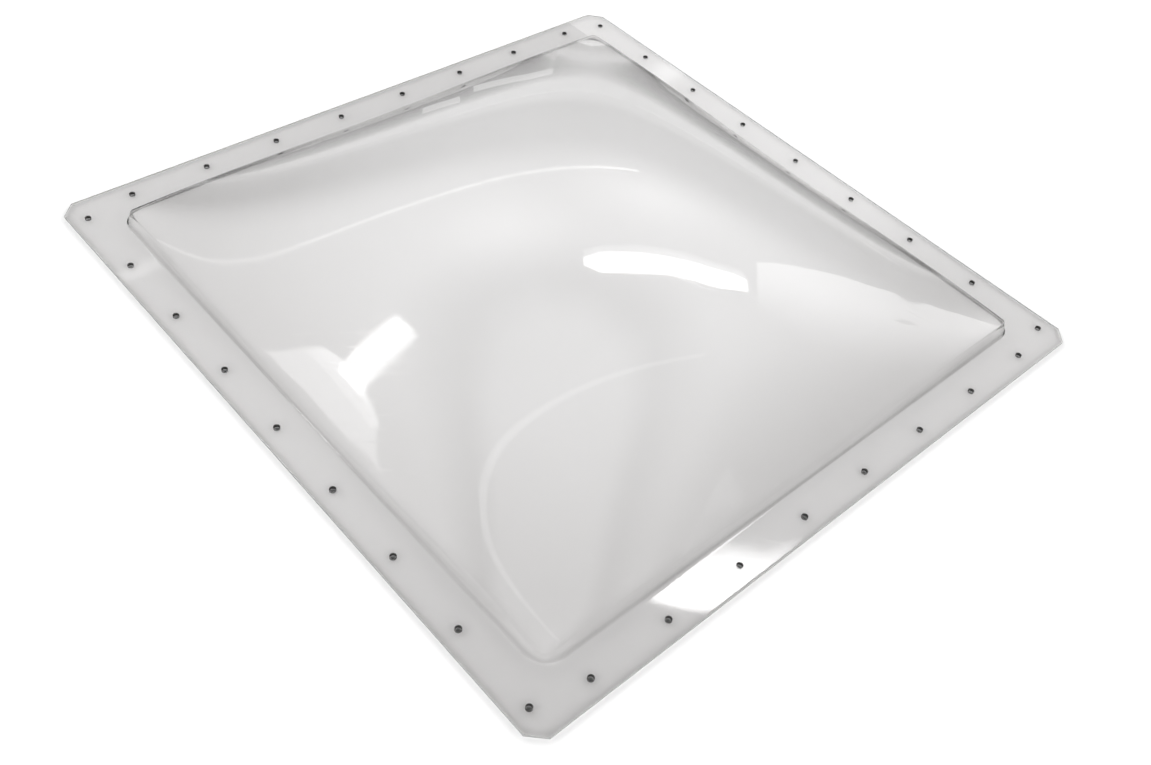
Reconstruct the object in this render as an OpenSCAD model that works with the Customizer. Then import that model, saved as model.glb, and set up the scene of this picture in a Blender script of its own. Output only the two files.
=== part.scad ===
// Square dome skylight, blown in one piece from a clear plastic sheet.
// A flat flange with screw holes carries a short step and a crowned dome.
// The origin is the middle of the flange's underside, with +Z up through the crown.

/* [Flange] */
// Thickness of the sheet, as it is left in the flange
sheet_t = 3.2; // [2:0.1:6]
// Width of the flat flange, from the dome's base to its outer edge
lip_w = 37.2; // [28:0.1:70]
// Leg of the straight cut across each outer corner of the flange
corner_cut = 12.7; // [2:0.1:25]

/* [Screw holes] */
// Diameter of a screw hole
hole_d = 4.8; // [3:0.1:8]
// Distance of a row of holes from the edge of the flange beside it
hole_edge = 15.9; // [10:0.1:20]
// Distance of a long row's end holes from the edge of the flange at its end
row_end = 25.4; // [20:0.1:40]
// Number of holes in a long row, where a short row has one less
long_row_holes = 9; // [3:1:15]

/* [Dome] */
// Width of the dome's base, where the flat flange ends
base_w = 586; // [300:1:900]
// Corner radius of the dome's base
base_r = 24; // [12:1:60]
// Width of the bend from the flange up to the dome's crest, halfway along a side
side_bend_w = 5; // [3:0.5:7]
// Width of the bend from the flange up to the dome's crest, beside a corner
corner_bend_w = 8; // [7:0.5:12]
// Height of the step in the bend halfway along a side
side_step = 1.5; // [0:0.1:10]
// Height of the step in the bend at a corner
corner_step = 7.5; // [0:0.1:15]
// Height that the dome is blown above the side step
crown_h = 96.9; // [40:0.1:160]
// Fullness of the dome's sides, from 0 for slack to 0.5 for tight
fullness = 0.2; // [0:0.05:0.5]

/* [Hidden] */

base_half = base_w / 2;
flange_half = base_half + lip_w;
row_half = flange_half - row_end;
hole_pitch = 2 * row_half / (long_row_holes - 1);
hole_line = flange_half - hole_edge;
short_row_half = row_half - hole_pitch / 2;

// Width of the flat rim round the dome that lies inside the flange, so that both are one sheet
rim_w = 2;
// Radius of the crest at a corner, small enough to keep the crest inside the base
crest_r = max(3, base_r - 2.4 * corner_bend_w);
// Width of the border round the dome that holds the whole bend, corners too
border_w = corner_bend_w + crest_r;
// Facets across a side's bend, over the rest of the border, from there to the middle of the
// dome, and in all with the rim
bend_facets = 6;
border_facets = 5;
span_facets = 14;
half_facets = 1 + bend_facets + border_facets + span_facets;
facets = 2 * half_facets;
// Share of even spacing among the facets inside the border, which widen towards the middle
even_share = 0.12;
// Length by which a drill runs past both faces of the flange
drill_over = 1;

clear_sheet = [0.88, 0.89, 0.89, 0.6];

// A smooth step from 0 to 1
function ramp(t) = let (s = max(0, min(1, t))) s * s * (3 - 2 * s);

// Distance from a point inwards to a rounded square, less than 0 outside it
function inset(x, y, half, corner_r) =
    let (
        past_x = abs(x) - (half - corner_r),
        past_y = abs(y) - (half - corner_r)
    )
    corner_r - norm([max(past_x, 0), max(past_y, 0)]) - min(max(past_x, past_y), 0);

// Nearness to a corner of the dome, from 0 along the middle lines to 1 in the corner
function corner_share(u, v) = ramp(abs(u)) * ramp(abs(v));

// The bend, from 0 on the flange to 1 on the dome. It has a soft foot at the rounded base and
// a crisp crest with nearly sharp corners.
function bend(x, y, corner) =
    let (
        from_base = max(0, inset(x, y, base_half, base_r)),
        past_crest = inset(x, y, base_half - corner_bend_w, crest_r),
        way = from_base + max(0, -past_crest),
        width = side_bend_w + (corner_bend_w - side_bend_w) * corner,
        s = min(1, from_base / max(way, 0.001) * corner_bend_w / width)
    )
    s * s * (2 - s);

// Height of the step in the bend, which grows from the sides to the corners
function step_height(corner) = side_step + (corner_step - side_step) * corner;

// A square sheet held along its edges and blown up in the middle, 1 at its crown
function blown(u, v) = (1 - u * u) * (1 - v * v) * (1 + fullness * (u * u + v * v));

// Rise of the sheet above the flange
function rise(x, y) =
    let (u = x / base_half, v = y / base_half, corner = corner_share(u, v))
    bend(x, y, corner) * (step_height(corner) + crown_h * blown(u, v));

// Distance of a row of facet corners inwards from the dome's base, for an index from the rim
// at 0 to the middle of the dome at half_facets
function row_depth(k) =
    let (
        past_rim = k - 1,
        past_bend = past_rim - bend_facets,
        s = (past_bend - border_facets) / span_facets
    )
    k == 0 ? -rim_w
    : past_bend <= 0 ? side_bend_w * past_rim / bend_facets
    : s <= 0 ? side_bend_w + (border_w - side_bend_w) * past_bend / border_facets
    : border_w + (base_half - border_w) * (even_share * s + (1 - even_share) * s * s);

// Place of a row of facet corners across the dome, for an index from 0 to facets
function station(i) =
    i <= half_facets ? row_depth(i) - base_half : base_half - row_depth(facets - i);

// The flat outline of the flange, a square with its corners cut off
module flange_outline() {
    long = flange_half;
    short = flange_half - corner_cut;
    polygon([
        [long, -short], [long, short], [short, long], [-short, long],
        [-long, short], [-long, -short], [-short, -long], [short, -long]
    ]);
}

// One row of drills along Y, centred on the X axis
module drill_row(count, half_length) {
    for (i = [0 : count - 1])
        translate([0, half_length * (2 * i / (count - 1) - 1), -drill_over])
            cylinder(h = sheet_t + 2 * drill_over, d = hole_d, $fn = 32);
}

// The flat flange, drilled along all four sides and open under the dome
module flange() {
    difference() {
        linear_extrude(sheet_t)
            difference() {
                flange_outline();
                square(base_w, center = true);
            }
        for (side = [-1, 1]) {
            translate([side * hole_line, 0, 0])
                drill_row(long_row_holes, row_half);
            translate([0, side * hole_line, 0])
                rotate(90)
                    drill_row(long_row_holes - 1, short_row_half);
        }
    }
}

// The blown dome. The sheet stretches straight up as it is blown, so its thickness
// measured upwards stays that of the flange, and it is thinner across its steep sides.
module dome() {
    row = facets + 1;
    layer = row * row;
    under = [
        for (i = [0 : facets], j = [0 : facets])
            let (x = station(i), y = station(j)) [x, y, rise(x, y)]
    ];
    top = [for (p = under) p + [0, 0, sheet_t]];
    // The two triangles of a facet. They meet along the line towards the nearest corner.
    function halves(a, b, c, d, towards_corner) =
        towards_corner ? [[a, d, c], [a, c, b]] : [[a, d, b], [b, d, c]];
    function turned(face) = [face[2], face[1], face[0]];
    upper_faces = [
        for (i = [0 : facets - 1], j = [0 : facets - 1])
            let (a = i * row + j, b = a + row, same_sign = (i < half_facets) == (j < half_facets))
            each halves(a, b, b + 1, a + 1, same_sign)
    ];
    lower_faces = [for (face = upper_faces) [for (k = turned(face)) k + layer]];
    // The upright edge of the sheet, where the flange continues it
    function upright(a, b) = [a, b, b + layer, a + layer];
    edge_faces = [
        for (i = [0 : facets - 1])
            let (last = facets * row)
            each [
                upright(i, i + 1),
                upright(last + i + 1, last + i),
                upright((i + 1) * row, i * row),
                upright(i * row + facets, (i + 1) * row + facets)
            ]
    ];
    polyhedron(concat(top, under), concat(upper_faces, lower_faces, edge_faces));
}

module skylight_dome() {
    color(clear_sheet)
        union() {
            flange();
            dome();
        }
}

skylight_dome();
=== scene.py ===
# %% [markdown]
# # A clear dome skylight
# The real skylight is a single clear plastic sheet. It is clamped along its edges, heated and blown
# up like a bubble, then trimmed and drilled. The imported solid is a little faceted, so this lesson
# makes the same sheet again with a smooth surface and puts it where the solid is.

# %% Load the frame
import math
import time

import bpy
import numpy as np
from mathutils import Matrix, Vector


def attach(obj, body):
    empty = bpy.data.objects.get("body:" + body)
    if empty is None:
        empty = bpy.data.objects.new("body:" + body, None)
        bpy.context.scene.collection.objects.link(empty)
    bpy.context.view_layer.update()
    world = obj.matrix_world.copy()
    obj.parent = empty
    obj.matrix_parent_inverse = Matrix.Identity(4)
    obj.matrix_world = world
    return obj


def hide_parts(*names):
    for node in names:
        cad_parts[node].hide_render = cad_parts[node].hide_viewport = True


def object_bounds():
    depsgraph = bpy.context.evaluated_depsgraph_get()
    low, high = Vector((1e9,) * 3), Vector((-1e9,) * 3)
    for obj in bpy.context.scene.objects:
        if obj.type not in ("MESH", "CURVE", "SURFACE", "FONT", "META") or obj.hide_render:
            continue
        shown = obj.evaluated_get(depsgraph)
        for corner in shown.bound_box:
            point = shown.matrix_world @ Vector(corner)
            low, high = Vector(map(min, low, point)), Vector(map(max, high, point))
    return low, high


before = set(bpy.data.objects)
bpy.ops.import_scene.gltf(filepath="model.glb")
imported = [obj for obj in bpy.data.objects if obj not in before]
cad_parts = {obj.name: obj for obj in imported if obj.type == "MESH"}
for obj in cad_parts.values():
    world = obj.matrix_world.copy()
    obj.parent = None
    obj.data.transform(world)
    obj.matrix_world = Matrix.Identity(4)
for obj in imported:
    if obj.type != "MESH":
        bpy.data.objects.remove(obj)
cad_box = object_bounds()
scene = bpy.context.scene
print("CAD box in metres:", [tuple(round(c, 4) for c in corner) for corner in cad_box])

# %% [markdown]
# The view comes first, because every later choice is judged through it. The camera looks down at
# about 46 degrees on a corner of the skylight and is turned a little about its own axis. Its three
# axes are worked out from those angles and put straight into a matrix, which leaves no rotation
# order to think about.

# %% Camera
def look_from(azimuth, elevation, roll, target, distance):
    """A camera matrix for a place round the target, with angles in degrees."""
    a, e, t = (math.radians(v) for v in (azimuth, elevation, roll))
    back = Vector((math.sin(a) * math.cos(e), -math.cos(a) * math.cos(e), math.sin(e)))
    right = (-back).cross(Vector((0, 0, 1))).normalized()
    up = right.cross(-back)
    turned_right = math.cos(t) * right + math.sin(t) * up
    turned_up = -math.sin(t) * right + math.cos(t) * up
    axes = Matrix((turned_right, turned_up, back)).transposed().to_4x4()
    return Matrix.Translation(Vector(target) + back * distance) @ axes


bpy.ops.object.select_all(action="DESELECT")
bpy.ops.object.camera_add()
camera = bpy.context.object
camera.name = "camera"
camera.matrix_world = look_from(
    azimuth=-49.19, elevation=46.32, roll=9.97, target=(-0.088, -0.1, 0), distance=1.0253
)
camera.data.sensor_width = 36
camera.data.lens = 38.09
scene.camera = camera
print("camera at", [round(c, 3) for c in camera.matrix_world.translation])

# %% [markdown]
# The sheet starts as one flat grid, as the real one starts as one flat sheet. A blown dome is
# nearly flat on top and turns sharply at its base, so the rows of the grid are moved closer
# together towards the base. A grid of even rows would need ten times the faces for the same bend.
# A guard row beside each turn keeps the flange between them perfectly flat in its shading.

# %% Flat sheet
FLANGE_HALF = cad_box[1].x
SHEET_T = 0.0032
BASE_HALF = 0.293
GUARD = 0.0015
BORDER_W = 0.0128
BORDER_ROWS = 28
DOME_ROWS = 66
EVEN_SHARE = 0.2

share = np.linspace(0, 1, DOME_ROWS + 1)[1:]
dome_depths = EVEN_SHARE * share + (1 - EVEN_SHARE) * share**2
dome_depths = BORDER_W + (BASE_HALF - BORDER_W) * dome_depths
border_depths = np.linspace(0, BORDER_W, BORDER_ROWS + 1)
depths = np.concatenate([[-GUARD], border_depths, dome_depths])
left_half = np.concatenate([[-FLANGE_HALF, GUARD - FLANGE_HALF], depths - BASE_HALF])
row_places = np.concatenate([left_half, -left_half[-2::-1]])
cells = len(row_places) - 1

bpy.ops.object.select_all(action="DESELECT")
bpy.ops.mesh.primitive_grid_add(x_subdivisions=cells, y_subdivisions=cells, size=2 * FLANGE_HALF)
sheet = bpy.context.object
sheet.name = "blown_sheet"
points = np.empty(len(sheet.data.vertices) * 3)
sheet.data.vertices.foreach_get("co", points)
points = points.reshape(-1, 3)
row_numbers = np.rint((points[:, :2] / (2 * FLANGE_HALF) + 0.5) * cells).astype(int)
points[:, :2] = row_places[row_numbers]
print("flat sheet:", len(sheet.data.vertices), "points in", cells + 1, "rows each way")

# %% [markdown]
# Blowing lifts every point straight up. A square bubble that is held along its edges follows a
# smooth product of two arches. It starts from a narrow bend with a small step: the foot of the
# bend is a square with round corners, and its crest is a square with nearly sharp ones. No operator
# gives that form, so the height is a formula over the grid.

# %% Blow the dome
BASE_R = 0.024
CREST_R = 0.0048
SIDE_BEND_W = 0.005
CORNER_BEND_W = 0.008
CREST_SOFT = 0.12
SIDE_STEP = 0.0015
CORNER_STEP = 0.0075
CROWN_H = 0.0969
FULLNESS = 0.2


def ramp(t):
    """A smooth step from 0 to 1."""
    s = np.clip(t, 0, 1)
    return s * s * (3 - 2 * s)


def inset(x, y, half, corner_r):
    """Distance inwards from a rounded square, less than 0 outside it."""
    past_x = np.abs(x) - (half - corner_r)
    past_y = np.abs(y) - (half - corner_r)
    out = np.hypot(np.maximum(past_x, 0), np.maximum(past_y, 0))
    return corner_r - out - np.minimum(np.maximum(past_x, past_y), 0)


def across_bend(x, y, corner):
    """The way across the bend: 0 at its foot, 1 at its crest, more inside it."""
    from_base = np.maximum(inset(x, y, BASE_HALF, BASE_R), 0)
    past_crest = inset(x, y, BASE_HALF - CORNER_BEND_W, CREST_R)
    way = np.maximum(from_base + np.maximum(-past_crest, 0), 1e-9)
    s = from_base / way + np.maximum(past_crest, 0) / CORNER_BEND_W
    return s * CORNER_BEND_W / (SIDE_BEND_W + (CORNER_BEND_W - SIDE_BEND_W) * corner)


def rise(x, y):
    """Height of the sheet above the flange."""
    u, v = np.clip(x / BASE_HALF, -1, 1), np.clip(y / BASE_HALF, -1, 1)
    corner = ramp(np.abs(u)) * ramp(np.abs(v))
    s = across_bend(x, y, corner)
    near = np.clip(0.5 + 0.5 * (1 - s) / CREST_SOFT, 0, 1)
    s = s * near + 1 - near - CREST_SOFT * near * (1 - near)
    step = SIDE_STEP + (CORNER_STEP - SIDE_STEP) * corner
    blown = (1 - u * u) * (1 - v * v) * (1 + FULLNESS * (u * u + v * v))
    return s * s * (2 - s) * (step + CROWN_H * blown)


points[:, 2] = SHEET_T + rise(points[:, 0], points[:, 1])
sheet.data.vertices.foreach_set("co", points.ravel())
sheet.data.update()
print("crown at", round(float(points[:, 2].max()), 4), "m")

# %% [markdown]
# The trimmed sheet has its four sharp corners sawn off. A bisect with a slanted plane does what
# the saw does, and clears what lies outside it. A first bisect a little further in only adds the
# guard row that keeps the flange flat up to the cut.

# %% Saw off the corners
CORNER_CUT = 0.0127

bpy.ops.object.mode_set(mode="EDIT")
for side_x in (-1, 1):
    for side_y in (-1, 1):
        for inwards in (2 * GUARD, 0):
            bpy.ops.mesh.select_all(action="SELECT")
            on_cut = (side_x * (FLANGE_HALF - inwards), side_y * (FLANGE_HALF - CORNER_CUT), 0)
            bpy.ops.mesh.bisect(
                plane_co=on_cut, plane_no=(side_x, side_y, 0), clear_outer=inwards == 0
            )
bpy.ops.object.mode_set(mode="OBJECT")
print("after the corner cuts:", len(sheet.data.polygons), "faces")

# %% [markdown]
# Now the sheet gets its thickness. A Solidify modifier would thicken it across the surface, but a
# blown sheet thins where it stretches most, on its steep sides. Extruding everything straight down
# keeps the thickness measured upwards the same, which thins the steep sides by the right amount.

# %% Thickness
bpy.ops.object.mode_set(mode="EDIT")
bpy.ops.mesh.select_all(action="SELECT")
bpy.ops.mesh.extrude_region_move(TRANSFORM_OT_translate={"value": (0, 0, -SHEET_T)})
bpy.ops.mesh.select_all(action="SELECT")
bpy.ops.mesh.remove_doubles(threshold=1e-6)
bpy.ops.mesh.normals_make_consistent(inside=False)
bpy.ops.object.mode_set(mode="OBJECT")
print("thick sheet:", len(sheet.data.polygons), "faces")

# %% [markdown]
# A sawn edge is never razor sharp: it is scraped or flamed, and the thin bright line along it is
# how the eye finds the edge of a clear sheet. The outer edges are picked by their place and get a
# narrow bevel.

# %% Ease the sawn edges
EASED = 0.0004
CLOSE = 1e-5
SAME_HEIGHT = 1e-6


def on_outline(x, y):
    """True on the outer outline of the flange."""
    straight = max(abs(x), abs(y)) > FLANGE_HALF - CLOSE
    slanted = abs(x) + abs(y) > 2 * FLANGE_HALF - CORNER_CUT - CLOSE
    return straight or slanted


def pick(piece, kind, test):
    """Goes into edit mode with those edges or faces selected that pass the test."""
    bpy.ops.object.mode_set(mode="EDIT")
    bpy.ops.mesh.select_mode(type=kind)
    bpy.ops.mesh.select_all(action="DESELECT")
    bpy.ops.object.mode_set(mode="OBJECT")
    for element in piece.data.edges if kind == "EDGE" else piece.data.polygons:
        element.select = test(element)
    bpy.ops.object.mode_set(mode="EDIT")


def runs_along_outline(edge):
    """True for a level edge that lies in the outer outline."""
    a, b = (sheet.data.vertices[i].co for i in edge.vertices)
    middle = (a + b) / 2
    level = abs(a.z - b.z) < SAME_HEIGHT
    return level and all(on_outline(p.x, p.y) for p in (a, b, middle))


pick(sheet, "EDGE", runs_along_outline)
bpy.ops.mesh.bevel(offset=EASED, segments=2, profile=0.5, affect="EDGES")
bpy.ops.object.mode_set(mode="OBJECT")
print("with eased edges:", len(sheet.data.polygons), "faces")

# %% [markdown]
# The screw holes are drilled after the dome is blown, in one row along each side. One drill is
# modelled with a small flare at both faces of the sheet, which stands for the deburred rim, and is
# copied to every hole. A Boolean modifier then takes all of them out in one go.

# %% Drill the screw holes
HOLE_R = 0.0024
HOLE_LINE = 0.3143
HOLE_PITCH = 0.0762
DEBURR = 0.0003
DRILL_OVER = 0.001

long_row = [HOLE_PITCH * (i - 4) for i in range(9)]
short_row = [HOLE_PITCH * (i - 3.5) for i in range(8)]
hole_places = [(side * HOLE_LINE, y) for side in (-1, 1) for y in long_row]
hole_places += [(x, side * HOLE_LINE) for side in (-1, 1) for x in short_row]

bpy.ops.object.select_all(action="DESELECT")
bpy.ops.mesh.primitive_cylinder_add(
    vertices=40, radius=HOLE_R, depth=SHEET_T - 2 * DEBURR, location=(0, 0, SHEET_T / 2)
)
drill = bpy.context.object
bpy.ops.object.transform_apply(location=True, rotation=True, scale=True)
flare = (HOLE_R + DEBURR) / HOLE_R
for up in (-1, 1):
    pick(drill, "FACE", lambda face: face.normal.z * up > 0.9)
    bpy.ops.mesh.extrude_region_move(TRANSFORM_OT_translate={"value": (0, 0, up * DEBURR)})
    bpy.ops.transform.resize(value=(flare, flare, 1))
    bpy.ops.mesh.extrude_region_move(TRANSFORM_OT_translate={"value": (0, 0, up * DRILL_OVER)})
    bpy.ops.object.mode_set(mode="OBJECT")
drills = [drill]
for x, y in hole_places[1:]:
    copy = drill.copy()
    copy.data = drill.data.copy()
    bpy.context.collection.objects.link(copy)
    copy.location = (x, y, 0)
    drills.append(copy)
drill.location = (*hole_places[0], 0)
for one in drills:
    one.select_set(True)
bpy.context.view_layer.objects.active = drill
bpy.ops.object.join()
bpy.ops.object.transform_apply(location=True, rotation=True, scale=True)

started = time.time()
bpy.ops.object.select_all(action="DESELECT")
sheet.select_set(True)
bpy.context.view_layer.objects.active = sheet
drilling = sheet.modifiers.new("drilling", "BOOLEAN")
drilling.operation = "DIFFERENCE"
drilling.solver = "EXACT"
drilling.object = drill
bpy.ops.object.modifier_apply(modifier=drilling.name)
bpy.data.objects.remove(drill)
seconds = round(time.time() - started, 1)
print(len(hole_places), "holes drilled in", seconds, "s,", len(sheet.data.polygons), "faces")

# %% [markdown]
# Smooth shading hides the facets of the dome, while every turn sharper than 30 degrees, such as
# the sawn edge and the rim of a hole, stays crisp.

# %% Shade smooth
bpy.ops.object.shade_smooth_by_angle(angle=math.radians(30))
print("smooth by angle")

# %% [markdown]
# The steep wall of the bend looks darker than the sheet on both sides of it, because it throws the
# light aside. A clean render shows only part of that, so the wall is marked on the upper points of
# the mesh, and the material paints the rest of that shade into its colour. This painted shade is
# strongest in a thin line along the foot and fades out softly past the crest.

# %% Mark the bend for its painted shade
SHADE = 0.22
SHADE_PEAK = 0.4
SHADE_FADE = 1.8
FOOT_SHADE_LINE = 0.42
FOOT_LINE_PEAK = 0.25
FOOT_LINE_FADE = 0.5


def rise_and_fade(s, peak, fade):
    """0 at the foot of the bend, 1 at the peak, and down to 0 again over the fade."""
    return ramp(s / peak) * (1 - ramp((s - peak) / fade))


places = np.empty(len(sheet.data.vertices) * 3)
sheet.data.vertices.foreach_get("co", places)
x, y, z = places[0::3], places[1::3], places[2::3]
u, v = np.clip(x / BASE_HALF, -1, 1), np.clip(y / BASE_HALF, -1, 1)
s = across_bend(x, y, ramp(np.abs(u)) * ramp(np.abs(v)))
on_top = z > rise(x, y) + SHEET_T / 2
# Painted shade on the wall: a broad shade past the foot and a darker line along the foot.
shade = SHADE * rise_and_fade(s, SHADE_PEAK, SHADE_FADE)
foot_shade_line = FOOT_SHADE_LINE * rise_and_fade(s, FOOT_LINE_PEAK, FOOT_LINE_FADE)
wall = (shade + foot_shade_line) * on_top
sheet.data.attributes.new("bend_wall_painted_shade", "FLOAT", "POINT").data.foreach_set("value", wall)
print("points marked on the wall:", int((wall > 0.1).sum()))

# %% [markdown]
# Any sheet that has been handled carries the same marks: a faint haze where it was wiped, a few
# hair-thin scratches and a slight ripple from the heat. They are made once, as a node group, and
# every surface of the skylight then uses as much of them as it needs.

# %% Handling marks
SCRATCH_TURN = math.radians(37)
SCRATCH_SIZE = (1 / 260, 1 / 3, 1 / 3)


def new_noise(tree, vector, scale, detail, low, high, dimensions="2D"):
    """Noise stretched to run from 0 at the low value to 1 at the high one."""
    noise = tree.nodes.new("ShaderNodeTexNoise")
    noise.inputs["Scale"].default_value = scale
    noise.inputs["Detail"].default_value = detail
    noise.noise_dimensions = dimensions
    tree.links.new(vector, noise.inputs["Vector"])
    spread = tree.nodes.new("ShaderNodeMapRange")
    spread.inputs["From Min"].default_value = low
    spread.inputs["From Max"].default_value = high
    tree.links.new(noise.outputs["Fac"], spread.inputs["Value"])
    return spread.outputs["Result"]


marks = bpy.data.node_groups.new("handling_marks", "ShaderNodeTree")
marks.interface.new_socket("Place", in_out="INPUT", socket_type="NodeSocketVector")
for name in ("Haze", "Scratches", "Ripple", "Grain"):
    marks.interface.new_socket(name, in_out="OUTPUT", socket_type="NodeSocketFloat")
inside = marks.nodes.new("NodeGroupInput")
outside = marks.nodes.new("NodeGroupOutput")
place = inside.outputs["Place"]
haze = new_noise(marks, place, scale=7, detail=1, low=0.42, high=0.72)
ripple = new_noise(marks, place, scale=11, detail=0, low=0.2, high=0.8)
grain = new_noise(marks, place, scale=2600, detail=1, low=0.3, high=0.7, dimensions="3D")
drawn_out = marks.nodes.new("ShaderNodeMapping")
drawn_out.vector_type = "TEXTURE"
drawn_out.inputs["Rotation"].default_value = (0, 0, SCRATCH_TURN)
drawn_out.inputs["Scale"].default_value = SCRATCH_SIZE
marks.links.new(place, drawn_out.inputs["Vector"])
drawn_place = drawn_out.outputs["Vector"]
scratches = new_noise(marks, drawn_place, scale=1.6, detail=0, low=0.74, high=0.8)
for name, value in (("Haze", haze), ("Scratches", scratches), ("Ripple", ripple), ("Grain", grain)):
    marks.links.new(value, outside.inputs[name])
print("marks:", [item.name for item in marks.interface.items_tree])

# %% [markdown]
# The materials are built from nodes, and a few steps come up in each of them. These helpers add one
# node with its links and give back the socket to go on from, so that a material reads from top to
# bottom like a recipe.

# %% Node helpers
def new_material(name):
    """A material with its node tree and its shader."""
    material = bpy.data.materials.new(name)
    material.use_nodes = True
    return material, material.node_tree, material.node_tree.nodes["Principled BSDF"]


def add_marks(tree):
    """The handling marks, laid out on the object itself."""
    coords = tree.nodes.new("ShaderNodeTexCoord")
    group = tree.nodes.new("ShaderNodeGroup")
    group.node_tree = marks
    tree.links.new(coords.outputs["Object"], group.inputs["Place"])
    return group, coords


def span(tree, value, low, high, out_low, out_high):
    """A value moved from one span to another."""
    node = tree.nodes.new("ShaderNodeMapRange")
    node.inputs["From Min"].default_value = low
    node.inputs["From Max"].default_value = high
    node.inputs["To Min"].default_value = out_low
    node.inputs["To Max"].default_value = out_high
    tree.links.new(value, node.inputs["Value"])
    return node.outputs["Result"]


def smooth_span(tree, value, low, high, out_low, out_high):
    """As span, but without corners."""
    result = span(tree, value, low, high, out_low, out_high)
    result.node.interpolation_type = "SMOOTHSTEP"
    return result


def blend(tree, factor, first, second):
    """A colour mixed from two, where either can be a socket."""
    node = tree.nodes.new("ShaderNodeMix")
    node.data_type = "RGBA"
    tree.links.new(factor, node.inputs["Factor"])
    for name, colour in (("A", first), ("B", second)):
        if isinstance(colour, tuple):
            node.inputs[name].default_value = colour
        else:
            tree.links.new(colour, node.inputs[name])
    return node.outputs["Result"]


def sum_up(tree, kind, first, second):
    """One step of arithmetic, where the second value can be a number."""
    node = tree.nodes.new("ShaderNodeMath")
    node.operation = kind
    tree.links.new(first, node.inputs[0])
    if isinstance(second, (int, float)):
        node.inputs[1].default_value = second
    else:
        tree.links.new(second, node.inputs[1])
    return node.outputs["Value"]


def add_bump(tree, shader, height, distance, strength):
    """A bump on the shader's normal."""
    bump = tree.nodes.new("ShaderNodeBump")
    bump.inputs["Distance"].default_value = distance
    bump.inputs["Strength"].default_value = strength
    tree.links.new(height, bump.inputs["Height"])
    tree.links.new(bump.outputs["Normal"], shader.inputs["Normal"])


helpers = (new_material, add_marks, span, smooth_span, blend, sum_up, add_bump)
print("helpers:", [helper.__name__ for helper in helpers])

# %% [markdown]
# Clear plastic is a glass with a low index and a faint grey tint of its own. Most of the tint is
# put into the volume, because then the sheet darkens where the eye looks along it: at its bends, on
# its outline and into its cut edges. The rest is a tone on the surface. The flange has one even
# grey tone. The blown part is greyest at its foot and palest at the crown: partly real, as the crown
# was stretched most, and partly painted light and shade. Light that is only on its way to the floor
# goes straight through, which keeps the floor under the dome as evenly lit as it is in daylight.

# %% Clear plastic
PLASTIC_IOR = 1.49
TINT = (0.5, 0.5, 0.5, 1)
TINT_DENSITY = 80
# The foot and crown tones are partly the plastic's own and partly painted shade and painted light.
FOOT_TONE_AND_SHADE = (0.772, 0.759, 0.754, 1)
CROWN_TONE_AND_LIGHT = (0.918, 0.909, 0.906, 1)
FLANGE_TONE = (0.83, 0.816, 0.811, 1)
# A painted shade for the wall of the bend.
WALL_SHADE_TONE = (0.14, 0.136, 0.135, 1)
WIPED_TONE = (0.84, 0.832, 0.828, 1)
PASSED_ON = (0.99, 0.99, 0.99, 1)

clear, tree, shader = new_material("clear_blown_plastic")
shader.inputs["IOR"].default_value = PLASTIC_IOR
shader.inputs["Transmission Weight"].default_value = 1
group, coords = add_marks(tree)
height = tree.nodes.new("ShaderNodeSeparateXYZ")
tree.links.new(coords.outputs["Object"], height.inputs["Vector"])
# Darker at the foot and lighter at the crown: partly real thinning, partly painted light and shade.
stretched = smooth_span(tree, height.outputs["Z"], 0.004, 0.085, 0, 1)
blown_tone_and_light = blend(tree, stretched, FOOT_TONE_AND_SHADE, CROWN_TONE_AND_LIGHT)
clamped = smooth_span(tree, height.outputs["Z"], 0.0035, 0.009, 1, 0)
tone = blend(tree, clamped, blown_tone_and_light, FLANGE_TONE)
# Painted shade: the marked bend wall is darkened where it is seen from outside.
wall_shade_mark = tree.nodes.new("ShaderNodeAttribute")
wall_shade_mark.attribute_name = "bend_wall_painted_shade"
seen_from = tree.nodes.new("ShaderNodeNewGeometry")
from_outside = sum_up(tree, "SUBTRACT", wall_shade_mark.outputs["Fac"], seen_from.outputs["Backfacing"])
from_outside.node.use_clamp = True
wall_shaded = blend(tree, from_outside, tone, WALL_SHADE_TONE)
wiped = blend(tree, span(tree, group.outputs["Haze"], 0, 1, 0, 0.25), wall_shaded, WIPED_TONE)
tree.links.new(wiped, shader.inputs["Base Color"])
dulled = tree.nodes.new("ShaderNodeMath")
dulled.operation = "MULTIPLY_ADD"
dulled.inputs[1].default_value = 0.06
tree.links.new(group.outputs["Scratches"], dulled.inputs[0])
tree.links.new(span(tree, group.outputs["Haze"], 0, 1, 0.03, 0.065), dulled.inputs[2])
tree.links.new(dulled.outputs["Value"], shader.inputs["Roughness"])
add_bump(tree, shader, group.outputs["Ripple"], 0.0004, 0.25)
tint = tree.nodes.new("ShaderNodeVolumeAbsorption")
tint.inputs["Color"].default_value = TINT
tint.inputs["Density"].default_value = TINT_DENSITY
tree.links.new(tint.outputs["Volume"], tree.nodes["Material Output"].inputs["Volume"])
way = tree.nodes.new("ShaderNodeLightPath")
passing = sum_up(tree, "MAXIMUM", way.outputs["Is Diffuse Ray"], way.outputs["Is Shadow Ray"])
straight = tree.nodes.new("ShaderNodeBsdfTransparent")
straight.inputs["Color"].default_value = PASSED_ON
either = tree.nodes.new("ShaderNodeMixShader")
tree.links.new(passing, either.inputs["Fac"])
tree.links.new(shader.outputs["BSDF"], either.inputs[1])
tree.links.new(straight.outputs["BSDF"], either.inputs[2])
tree.links.new(either.outputs["Shader"], tree.nodes["Material Output"].inputs["Surface"])
sheet.data.materials.append(clear)
print("clear plastic: tint", TINT[0], "at density", TINT_DENSITY)

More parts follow.
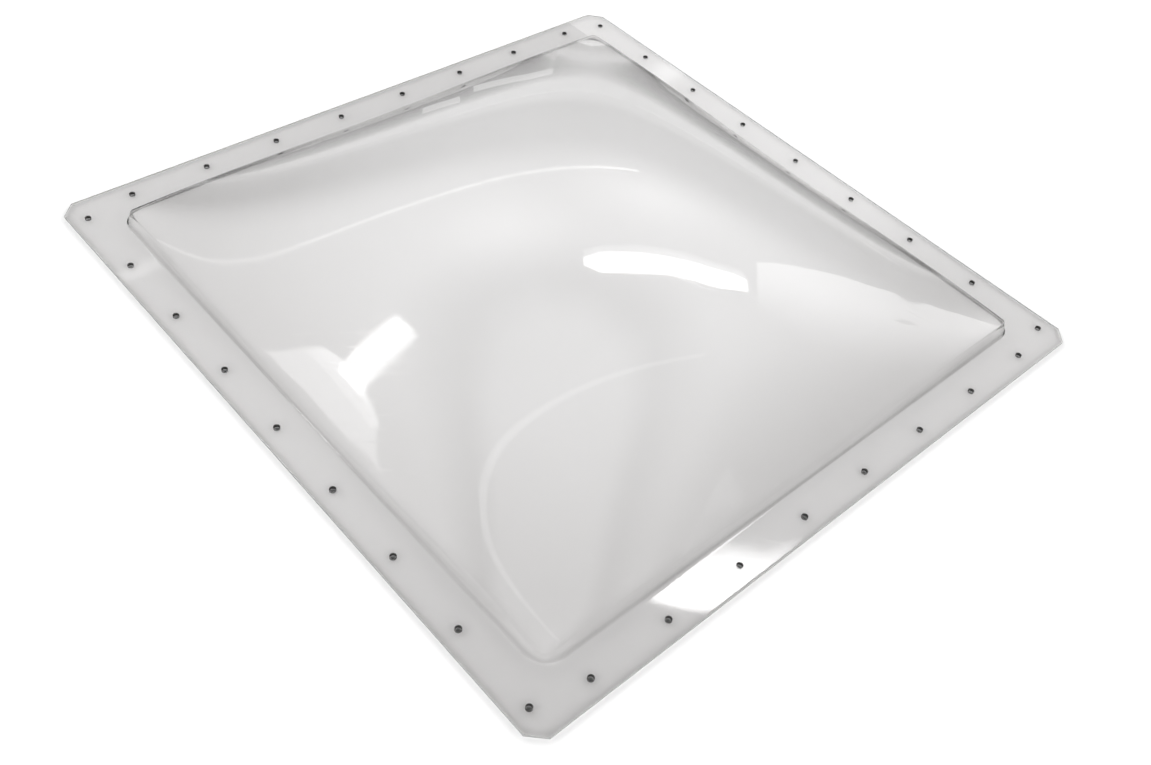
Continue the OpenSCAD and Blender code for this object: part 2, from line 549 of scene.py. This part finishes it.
# %% [markdown]
# A saw leaves the edge dull and finely lined, so it scatters the light and looks about as pale as
# the sheet. The walls of the screw holes are rougher still and painted nearly black, a painted
# shade, which is why the holes read as dark dots. Both are slots of the same mesh, given out by the
# place of each face.

# %% Sawn edge and drilled wall
SAWN_TONES = (0.40, 0.40, 0.395, 1), (0.52, 0.52, 0.51, 1)
DRILLED_SHADE_TONES = (0.025, 0.024, 0.023, 1), (0.07, 0.068, 0.066, 1)
PAST_BEVEL = 1.0005

sawn, tree, shader = new_material("sawn_edge")
shader.inputs["IOR"].default_value = PLASTIC_IOR
shader.inputs["Transmission Weight"].default_value = 0.3
group, _ = add_marks(tree)
saw_colour = blend(tree, group.outputs["Grain"], *SAWN_TONES)
tree.links.new(saw_colour, shader.inputs["Base Color"])
tree.links.new(span(tree, group.outputs["Grain"], 0, 1, 0.25, 0.5), shader.inputs["Roughness"])
add_bump(tree, shader, group.outputs["Grain"], 0.0002, 0.4)
sheet.data.materials.append(sawn)

# The hole walls are a painted shade: nearly black, with a fine grain.
drilled, tree, shader = new_material("drilled_wall_painted_shade")
group, _ = add_marks(tree)
drill_shade_colour = blend(tree, group.outputs["Grain"], *DRILLED_SHADE_TONES)
tree.links.new(drill_shade_colour, shader.inputs["Base Color"])
tree.links.new(span(tree, group.outputs["Grain"], 0, 1, 0.55, 0.85), shader.inputs["Roughness"])
add_bump(tree, shader, group.outputs["Grain"], 0.0002, 0.5)
sheet.data.materials.append(drilled)

hole_xy = np.array(hole_places)
counts = [0, 0, 0]
for polygon in sheet.data.polygons:
    c = polygon.center
    nearest = np.hypot(hole_xy[:, 0] - c.x, hole_xy[:, 1] - c.y).min()
    if nearest < HOLE_R + DEBURR and abs(polygon.normal.z) < 0.9:
        polygon.material_index = 2
    elif on_outline(c.x * PAST_BEVEL, c.y * PAST_BEVEL) and abs(polygon.normal.z) < 0.95:
        polygon.material_index = 1
    counts[polygon.material_index] += 1
print("faces of clear plastic, sawn edge and drilled wall:", counts)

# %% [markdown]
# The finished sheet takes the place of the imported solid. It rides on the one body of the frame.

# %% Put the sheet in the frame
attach(sheet, "root")
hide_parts("skylight_dome")
print("the sheet stands for", "skylight_dome")

# %% [markdown]
# A clear object shows only what is round it, so the studio is half of its look. The skylight lies
# on a plain white floor. In gloss the floor is a darker one, as a black card laid behind glassware
# gives it dark edges: without it the far rim of the dome would melt into the white. The card is
# left white under the dome.

# %% Floor
FLOOR_Z = -0.0002
FLOOR_WHITE = (0.97, 0.97, 0.97, 1)
DARK_CARD_Z = -0.0001
CARD_FADE_W = 0.005

bpy.ops.object.select_all(action="DESELECT")
bpy.ops.mesh.primitive_plane_add(size=60, location=(0, 0, FLOOR_Z))
floor = bpy.context.object
floor.name = "floor"
floor_white, tree, shader = new_material("floor_white")
shader.inputs["Base Color"].default_value = FLOOR_WHITE
shader.inputs["Roughness"].default_value = 1
shader.inputs["Specular IOR Level"].default_value = 0
floor.data.materials.append(floor_white)


def only_in_gloss(thing):
    """Hides a thing of the studio from everything but reflections."""
    thing.visible_camera = False
    thing.visible_diffuse = False
    thing.visible_transmission = False
    thing.visible_volume_scatter = False
    thing.visible_shadow = False


bpy.ops.mesh.primitive_plane_add(size=8, location=(0, 0, DARK_CARD_Z))
dark_card = bpy.context.object
dark_card.name = "dark_card"
card_grey, tree, shader = new_material("card_grey")
shader.inputs["Base Color"].default_value = (0, 0, 0, 1)
shader.inputs["Specular IOR Level"].default_value = 0
coords = tree.nodes.new("ShaderNodeTexCoord")
distance = tree.nodes.new("ShaderNodeVectorMath")
distance.operation = "LENGTH"
tree.links.new(coords.outputs["Object"], distance.inputs[0])
faded = smooth_span(tree, distance.outputs["Value"], 0.40, 0.95, 0.15, 1.0)
unsigned = tree.nodes.new("ShaderNodeVectorMath")
unsigned.operation = "ABSOLUTE"
tree.links.new(coords.outputs["Object"], unsigned.inputs[0])
sides = tree.nodes.new("ShaderNodeSeparateXYZ")
tree.links.new(unsigned.outputs["Vector"], sides.inputs["Vector"])
reach = sum_up(tree, "MAXIMUM", sides.outputs["X"], sides.outputs["Y"])
under_dome = span(tree, reach, BASE_HALF, BASE_HALF + CARD_FADE_W, 0.9, 0)
tree.links.new(sum_up(tree, "MAXIMUM", faded, under_dome), shader.inputs["Emission Color"])
shader.inputs["Emission Strength"].default_value = 1
dark_card.data.materials.append(card_grey)
only_in_gloss(dark_card)
print("floor and dark card in place")

# %% [markdown]
# The sky of the scene does two jobs. One sky is seen by the eye and in reflections: white at the
# horizon, dimmer just above it and brightest halfway up, with a few brighter and darker sides of
# the room. The other one only lights the floor. It is soft and comes from all round, with nearly
# nothing overhead, so that little light falls straight down into the screw holes.

# %% Sky
def direction(azimuth, elevation):
    """A unit vector, with the azimuth from +X towards +Y and the elevation above the floor."""
    a, e = math.radians(azimuth), math.radians(elevation)
    return Vector((math.cos(a) * math.cos(e), math.sin(a) * math.cos(e), math.sin(e)))


# Azimuth and elevation, narrowness and change of brightness of each side
SIDES = (
    (29, 34.5, 70, 0.7),
    (63, 51, 60, 0.8),
    (-42, 37, 24, -1.2),
    (78, 18, 40, -0.45),
    (-57, 13, 14, -0.6),
    (150, 15, 14, 0.8),
)

world = bpy.data.worlds.new("studio")
scene.world = world
world.use_nodes = True
tree = world.node_tree
coords = tree.nodes.new("ShaderNodeTexCoord")
split = tree.nodes.new("ShaderNodeSeparateXYZ")
tree.links.new(coords.outputs["Generated"], split.inputs["Vector"])
low_down = smooth_span(tree, split.outputs["Z"], 0.02, 0.10, 1.0, 0.72)
halfway_up = smooth_span(tree, split.outputs["Z"], 0.30, 0.60, 0, 1.05)
overhead = smooth_span(tree, split.outputs["Z"], 0.76, 0.93, 1.0, 0.24)
radiance = sum_up(tree, "MULTIPLY", sum_up(tree, "ADD", low_down, halfway_up), overhead)
for azimuth, elevation, narrow, change in SIDES:
    towards = tree.nodes.new("ShaderNodeVectorMath")
    towards.operation = "DOT_PRODUCT"
    towards.inputs[1].default_value = direction(azimuth, elevation)
    tree.links.new(coords.outputs["Generated"], towards.inputs[0])
    ahead = sum_up(tree, "MAXIMUM", towards.outputs["Value"], 0)
    glow = sum_up(tree, "MULTIPLY", sum_up(tree, "POWER", ahead, narrow), change)
    radiance = sum_up(tree, "ADD", radiance, glow)
seen = tree.nodes.new("ShaderNodeLightPath")
gloss, through = seen.outputs["Is Glossy Ray"], seen.outputs["Is Transmission Ray"]
in_sheet = sum_up(tree, "MAXIMUM", gloss, through)
by_eye = sum_up(tree, "MAXIMUM", seen.outputs["Is Camera Ray"], in_sheet)
all_round = smooth_span(tree, split.outputs["Z"], 0.55, 0.80, 2.5, 0.06)
sky = tree.nodes.new("ShaderNodeMix")
tree.links.new(by_eye, sky.inputs["Factor"])
tree.links.new(all_round, sky.inputs["A"])
tree.links.new(radiance, sky.inputs["B"])
tree.links.new(sky.outputs["Result"], tree.nodes["Background"].inputs["Color"])
print("sky made")

# %% [markdown]
# The sharp highlights on a glossy dome are pictures of lamps and windows. Each one is a card of
# light, a ribbon stretched between two or more rows of directions, with a glow given for each row.
# Cards are seen in gloss only, so they draw highlights and leave the even light alone. Two kinds of
# light are made first: one that shines to both sides of a card, and one that shines to its front.

# %% Cards of light
FAR = 12

card_light = bpy.data.materials.new("card_light")
card_light.use_nodes = True
tree = card_light.node_tree
tree.nodes.remove(tree.nodes["Principled BSDF"])
glow_mark = tree.nodes.new("ShaderNodeAttribute")
glow_mark.attribute_name = "glow"
emission = tree.nodes.new("ShaderNodeEmission")
see_through = tree.nodes.new("ShaderNodeBsdfTransparent")
both = tree.nodes.new("ShaderNodeAddShader")
tree.links.new(glow_mark.outputs["Fac"], emission.inputs["Color"])
tree.links.new(emission.outputs["Emission"], both.inputs[0])
tree.links.new(see_through.outputs["BSDF"], both.inputs[1])
tree.links.new(both.outputs["Shader"], tree.nodes["Material Output"].inputs["Surface"])

card_light.cycles.emission_sampling = "NONE"
card_grey.cycles.emission_sampling = "NONE"

light_below = card_light.copy()
light_below.name = "light_below"
tree = light_below.node_tree
card_side = tree.nodes.new("ShaderNodeNewGeometry")
from_below = sum_up(tree, "LESS_THAN", card_side.outputs["Backfacing"], 0.5)
tree.links.new(from_below, tree.nodes["Emission"].inputs["Strength"])


def far_row(*angles):
    """Points far off, in the directions given by azimuth and elevation."""
    return [direction(*pair) * FAR for pair in angles]


def near_row(height, *places):
    """Points at one height above the skylight."""
    return [Vector((*place, height)) for place in places]


card_names = []


def card(name, *rows, light=card_light):
    """A ribbon of light from rows of points, each with its glow."""
    card_names.append(name)
    across, along = len(rows[0][1]) - 1, len(rows) - 1
    bpy.ops.object.select_all(action="DESELECT")
    bpy.ops.mesh.primitive_grid_add(x_subdivisions=across, y_subdivisions=along)
    ribbon = bpy.context.object
    ribbon.name = name
    corners = [corner for _, row in rows for corner in row]
    ribbon.data.vertices.foreach_set("co", [c for corner in corners for c in corner])
    glows = [glow for glow, row in rows for _ in row]
    ribbon.data.attributes.new("glow", "FLOAT", "POINT").data.foreach_set("value", glows)
    ribbon.data.update()
    ribbon.data.materials.append(light)
    only_in_gloss(ribbon)


print("two kinds of light:", card_light.name, "and", light_below.name)

# %% [markdown]
# The long streak below the crown is a lamp close above the dome, with a soft haze along one side.
# The bright patch on the flange is a lamp far off. A flat flange mirrors like a window pane, so its
# card is small, and its first and last rows fade to nothing.

# %% Lamps
STREAK_Z = 0.3

streak_top = near_row(
    STREAK_Z,
    (0.042, 0.025), (0.074, 0.020), (0.134, -0.014), (0.178, -0.043),
    (0.215, -0.071), (0.254, -0.101), (0.298, -0.136),
)
streak_foot = near_row(
    STREAK_Z,
    (0.033, 0.013), (0.045, -0.014), (0.102, -0.050), (0.150, -0.075),
    (0.186, -0.105), (0.223, -0.136), (0.278, -0.161),
)
streak_haze = near_row(
    STREAK_Z,
    (0.057, 0.039), (0.085, 0.032), (0.147, 0.001), (0.186, -0.023),
    (0.222, -0.050), (0.259, -0.082), (0.305, -0.114),
)
card("lamp", (9, streak_top), (9, streak_foot))
card("lamp_haze", (0.8, streak_haze), (2.2, streak_top))
card(
    "lamp_on_flange",
    (0, far_row((28.0, 53.0), (25.5, 52.6), (22.8, 52.1), (20.5, 51.0))),
    (14, far_row((27.4, 53.8), (25.0, 53.4), (22.2, 52.9), (19.9, 51.8))),
    (14, far_row((31.5, 56.4), (28.7, 56.4), (26.0, 56.0), (23.0, 55.5))),
    (0, far_row((31.5, 56.7), (28.7, 56.6), (25.8, 56.3), (22.8, 55.8))),
)
print("lamps:", card_names)

# %% [markdown]
# Windows draw the wider highlights. The one on the right is a tall window whose light dies away to
# one side. The one on the left is a lamp over a window with a brighter head, which together look
# like the letter Y on the curved sheet. A low window lights the near right side a little.

# %% Windows
right_window_rows = (
    (2.3, far_row(
        (5.9, 37.0), (5.0, 34.1), (4.0, 31.3), (2.9, 28.1),
        (2.2, 25.2), (1.4, 24.2), (1.0, 23.2), (0.9, 22.1),
    )),
    (2.0, far_row(
        (-0.5, 41.2), (-2.1, 38.9), (-3.7, 36.6), (-6.2, 34.3),
        (-7.4, 32.0), (-8.3, 30.9), (-9.4, 30.2), (-10.3, 30.0),
    )),
    (0, far_row(
        (-9.3, 44.5), (-14.1, 42.8), (-19.2, 40.7), (-23.6, 37.9),
        (-26.4, 35.6), (-27.9, 34.4), (-28.7, 33.7), (-29.6, 33.2),
    )),
)
card("right_window", *right_window_rows)
card(
    "left_lamp",
    (9, far_row((112.8, 51.6), (119.0, 48.8), (125.0, 45.3), (129.5, 42.0), (132.3, 39.6))),
    (9, far_row((115.5, 54.9), (121.0, 52.3), (126.2, 48.8), (130.9, 44.8), (134.3, 41.1))),
)
sill = far_row((130.9, 37.4), (132.8, 37.7), (134.6, 38.1), (136.1, 39.1), (138.2, 40.4))
card(
    "left_window_head",
    (5, far_row((129.0, 39.9), (129.9, 41.5), (131.3, 42.2), (133.2, 42.6), (136.6, 42.3))),
    (4, sill),
)
card(
    "left_window",
    (3, sill),
    (3, far_row((134.3, 33.4), (136.6, 32.7), (138.2, 32.8), (139.4, 34.2), (140.1, 38.0))),
)
card(
    "low_window",
    (0.9, far_row((-44.4, 40.6), (-46.3, 40.6), (-47.4, 40.3), (-47.6, 40.0))),
    (0.9, far_row((-44.5, 40.2), (-46.0, 37.0), (-46.9, 34.4), (-47.6, 32.1))),
)
print("with windows:", len(card_names), "cards")

# %% [markdown]
# Some light comes from close by. A strip low over the floor is mirrored in the far flange. It
# shines downwards only, so the dome doesn't mirror it too. Two gleams on the floor show as short
# pale bars in the far slope of the dome.

# %% Strip and gleams
STRIP_Z = 0.045
GLEAM_Z = 0.0006

card(
    "far_strip",
    (0, near_row(STRIP_Z, (0.400, -0.170), (0.338, -0.170))),
    (1.3, near_row(STRIP_Z, (0.400, -0.050), (0.338, -0.050))),
    (1.3, near_row(STRIP_Z, (0.400, 0.400), (0.338, 0.400))),
    light=light_below,
)
card(
    "floor_gleam_short",
    (0.5, near_row(GLEAM_Z, (0.085, 0.366), (0.115, 0.374), (0.154, 0.392))),
    (0.5, near_row(GLEAM_Z, (0.149, 0.486), (0.184, 0.496), (0.236, 0.524))),
)
card(
    "floor_gleam_long",
    (0.5, near_row(GLEAM_Z, (0.143, 0.340), (0.201, 0.367), (0.288, 0.416), (0.360, 0.447))),
    (0.5, near_row(GLEAM_Z, (0.181, 0.401), (0.250, 0.438), (0.354, 0.499), (0.408, 0.500))),
)
print("with strip and gleams:", len(card_names), "cards")

# %% [markdown]
# The thin lines on the dome are straight tubes of light, which the curved sheet bends into arcs.
# A pale ceiling closes the room and lifts the crown.

# %% Tubes and ceiling
LOOKED_AT = Vector((0, 0, 0.1))


def tube(name, *ends):
    """A straight ribbon of light that faces the dome, with a glow, width and place at each end."""
    along = Vector(ends[1][2]) - Vector(ends[0][2])
    rows = []
    for glow, width, place in ends:
        aside = along.cross(LOOKED_AT - Vector(place)).normalized() * width / 2
        rows.append((glow, [Vector(place) - aside, Vector(place) + aside]))
    card(name, *rows)


tube("back_tube", (2.4, 0.014, (-0.606, 0.998, 0.711)), (2.8, 0.080, (4.526, 3.083, 2.850)))
tube("front_tube", (1.0, 0.014, (0.518, -0.363, 0.864)), (2.0, 0.070, (-1.489, 1.006, 3.695)))
all_round_room = range(0, 361, 30)
card(
    "ceiling",
    (0, far_row(*((azimuth, 63) for azimuth in all_round_room))),
    (1.5, far_row(*((azimuth, 71) for azimuth in all_round_room))),
    (1.5, far_row(*((azimuth, 89.9) for azimuth in all_round_room))),
)
print("all cards:", len(card_names))

# %% [markdown]
# The view transform is the plain one, so a colour renders about as it is written.

# %% View settings
scene.view_settings.view_transform = "Standard"
print("view transform:", scene.view_settings.view_transform)
